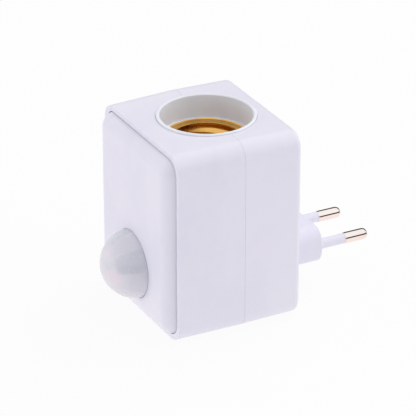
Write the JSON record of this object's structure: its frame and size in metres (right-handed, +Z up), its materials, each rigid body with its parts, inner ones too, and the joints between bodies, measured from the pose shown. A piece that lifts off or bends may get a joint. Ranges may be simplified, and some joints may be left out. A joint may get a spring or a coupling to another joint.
{
  "type": "motion sensor lamp holder",
  "caption": "White plug-in lamp holder: a box with a screw socket for a lamp on top, a faceted motion sensor dome low on its front and a plug with round pins on its back.",
  "frame": {"origin": "on the underside, straight below the axis of the lamp socket, in the plane of the seam between the front and rear shells", "axes": "+Z up along the socket's axis, the way the lamp leaves; +Y to the back, along the plug's pins; +X to the right as seen from the front"},
  "size_m": [0.0564, 0.0977, 0.07],
  "materials": {
    "housing": "white satin moulding",
    "socket_plastic": "white heat-resistant moulding",
    "brass": "bare rolled brass",
    "spring_steel": "drawn wire",
    "plated_pin": "polished nickel plate",
    "milky_lens": "milky, faintly lavender",
    "inner_plastic": "white moulding",
    "board": "green solder mask",
    "sensor_can": "plated can",
    "dark_window": "dark infrared filter",
    "light_sensor": "clear coat over the sensing track",
    "relay_case": "black case",
    "film_capacitor": "yellow case",
    "black_sleeve": "shrunk sleeve",
    "black_moulding": "black moulding",
    "resistor_coat": "grey-green coat",
    "diode_glass": "small glass body, kept opaque",
    "screw_steel": "zinc-plated",
    "blue_insulation": "insulated lead",
    "brown_insulation": "insulated lead",
    "black_insulation": "insulated lead"
  },
  "bodies": {
    "holder": {"front_shell": "housing", "rear_shell": "housing", "front_cover": "housing", "plug_insert": "housing", "pin_sleeve_left": "housing", "pin_sleeve_right": "housing", "socket_sleeve": "socket_plastic", "screw_shell": "brass", "socket_rivets": "brass", "contact_terminal": "brass", "shell_terminal": "brass", "contact_spring": "spring_steel", "pin_left": "plated_pin", "pin_right": "plated_pin", "sensor_lens": "milky_lens", "lens_retainer": "inner_plastic", "sensor_spacer": "inner_plastic", "control_board": "board", "pir_sensor": "sensor_can", "pir_window": "dark_window", "light_sensor": "light_sensor", "relay": "relay_case", "dropper_capacitor": "film_capacitor", "smoothing_capacitor": "black_sleeve", "rectifier": "black_moulding", "controller_chip": "black_moulding", "fuse_resistor": "resistor_coat", "zener_diode": "diode_glass", "housing_screws": "screw_steel", "board_screws": "screw_steel", "neutral_lead": "blue_insulation", "live_lead": "brown_insulation", "shell_lead": "blue_insulation", "switched_lead": "black_insulation"},
    "contact": {"centre_contact": "brass"}
  },
  "joints": [
    {"name": "contact_press", "type": "slide", "parent": "holder", "child": "contact", "axis": [0, 0, 1], "range_m": [-0.0018, 0], "stiffness_N_per_m": 600, "springref_m": 0.002, "deforming": ["contact_spring"]}
  ]
}
